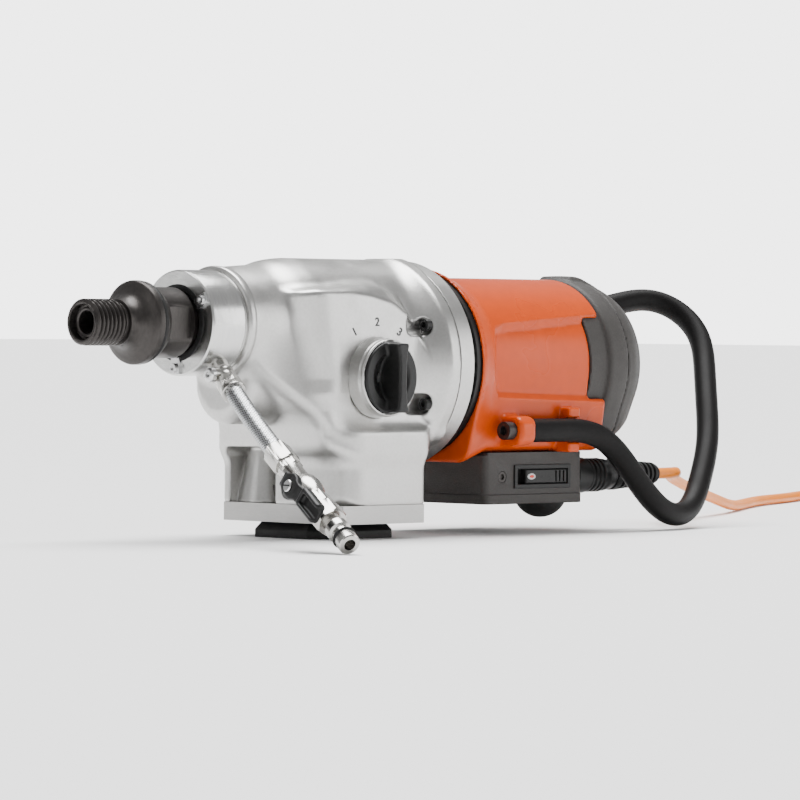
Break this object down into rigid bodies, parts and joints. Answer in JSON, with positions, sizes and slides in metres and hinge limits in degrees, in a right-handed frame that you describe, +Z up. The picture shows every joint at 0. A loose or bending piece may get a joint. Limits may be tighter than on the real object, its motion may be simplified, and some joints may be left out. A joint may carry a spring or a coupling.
{
  "type": "core drill motor",
  "caption": "Water-fed core drill motor with threaded spindle, cast three-speed gearbox, orange motor housing, hoop handle and mains cable.",
  "frame": {"origin": "centre of the mounting shoe's underside, which stands on the ground", "axes": "+X from the spindle nose back to the motor's rear end, +Y away from the speed dial's side, +Z up"},
  "size_m": [1.2411, 0.5335, 0.197],
  "materials": {
    "bright_steel": "machined",
    "dark_steel": "black oxide, oiled",
    "chrome": "nickel plated",
    "cast_aluminium": "painted silver over cast metal",
    "machined_aluminium": "machined",
    "orange_housing": "satin moulded",
    "dark_plastic": "fine moulded texture",
    "black_plastic": "satin",
    "black_rubber": "matt",
    "cable_orange": "matt jacket",
    "braid": "braided sleeve",
    "brass": "plain",
    "gear_steel": "ground and oiled",
    "copper": "wound copper",
    "board_green": "lacquered board",
    "carbon": "pressed carbon",
    "shoe_black": "black paint"
  },
  "bodies": {
    "machine": {"base_plate": "machined_aluminium", "bearing_bracket": "cast_aluminium", "brush_holders": "brass", "brushes": "carbon", "cable_coil": "cable_orange", "cable_gland": "black_plastic", "circuit_board": "board_green", "collar_screws": "bright_steel", "collar_seals": "black_rubber", "control_box": "dark_plastic", "control_box_lid": "black_plastic", "control_box_screws": "bright_steel", "elbow_plug": "black_plastic", "flange_bolts": "dark_steel", "gear_housing": "cast_aluminium", "gearbox_bearings": "gear_steel", "handle_tube": "black_plastic", "hose_ferrules": "chrome", "hose_nipple": "chrome", "intake_ring": "dark_plastic", "intermediate_flange": "cast_aluminium", "m8_screws": "dark_steel", "motor_bearings": "gear_steel", "motor_housing": "orange_housing", "mounting_shoe": "shoe_black", "nipple_seal": "black_rubber", "power_cable": "cable_orange", "power_plug": "black_rubber", "rear_cover": "dark_plastic", "rear_cover_screws": "bright_steel", "rear_foot": "black_rubber", "seal_clips": "bright_steel", "selector_bezel": "cast_aluminium", "shift_rail": "bright_steel", "stator": "gear_steel", "strain_relief": "black_rubber", "switch_frame": "black_plastic", "valve_body": "chrome", "water_collar": "machined_aluminium", "water_elbow": "chrome", "water_hose": "braid"},
    "spindle": {"spindle": "dark_steel", "spindle_ring": "black_rubber", "output_gear": "gear_steel"},
    "countershaft": {"countershaft": "gear_steel", "countershaft_gear": "gear_steel", "clutch_springs": "gear_steel"},
    "layshaft": {"layshaft": "gear_steel", "layshaft_gear": "gear_steel"},
    "sleeve": {"shift_sleeve": "gear_steel"},
    "fork": {"shift_fork": "brass"},
    "selector": {"selector_knob": "black_plastic", "selector_shaft": "bright_steel"},
    "armature": {"armature": "gear_steel", "commutator": "copper", "fan": "dark_plastic"},
    "valve": {"valve_ball": "chrome", "valve_lever": "black_plastic", "lever_screw": "bright_steel"},
    "switch": {"switch_slider": "black_plastic"}
  },
  "joints": [
    {"name": "motor_spin", "type": "hinge", "parent": "machine", "child": "armature", "pos_m": [0.15, 0, 0.122], "axis": [1, 0, 0], "continuous": true},
    {"name": "layshaft_spin", "type": "hinge", "parent": "machine", "child": "layshaft", "pos_m": [0.02, -0.00929, 0.09988], "axis": [1, 0, 0], "continuous": true},
    {"name": "countershaft_spin", "type": "hinge", "parent": "machine", "child": "countershaft", "pos_m": [0.02, 0.02, 0.10636], "axis": [1, 0, 0], "continuous": true},
    {"name": "spindle_spin", "type": "hinge", "parent": "machine", "child": "spindle", "pos_m": [-0.1, 0, 0.15], "axis": [1, 0, 0], "continuous": true},
    {"name": "selector_turn", "type": "hinge", "parent": "machine", "child": "selector", "pos_m": [-0.005, -0.06, 0.113], "axis": [0, 1, 0], "range_deg": [-40, 40]},
    {"name": "fork_slide", "type": "slide", "parent": "machine", "child": "fork", "axis": [1, 0, 0], "range_m": [-0.0065, 0.0065]},
    {"name": "sleeve_slide", "type": "slide", "parent": "layshaft", "child": "sleeve", "axis": [1, 0, 0], "range_m": [-0.0065, 0.0065]},
    {"name": "valve_turn", "type": "hinge", "parent": "machine", "child": "valve", "pos_m": [-0.16488, -0.15258, 0.0391], "axis": [-0.9524, 0.1671, 0.2551], "range_deg": [0, 90]},
    {"name": "switch_slide", "type": "slide", "parent": "machine", "child": "switch", "axis": [-1, 0, 0], "range_m": [0, 0.008]}
  ],
  "couplings": [
    {"joint": "layshaft_spin", "follows": "motor_spin", "ratio": -0.2973},
    {"joint": "countershaft_spin", "follows": "motor_spin", "ratio": 0.12242},
    {"joint": "spindle_spin", "follows": "motor_spin", "ratio": -0.040806},
    {"joint": "fork_slide", "follows": "selector_turn", "m_per_rad": 0.00921},
    {"joint": "sleeve_slide", "follows": "selector_turn", "m_per_rad": 0.00921}
  ]
}
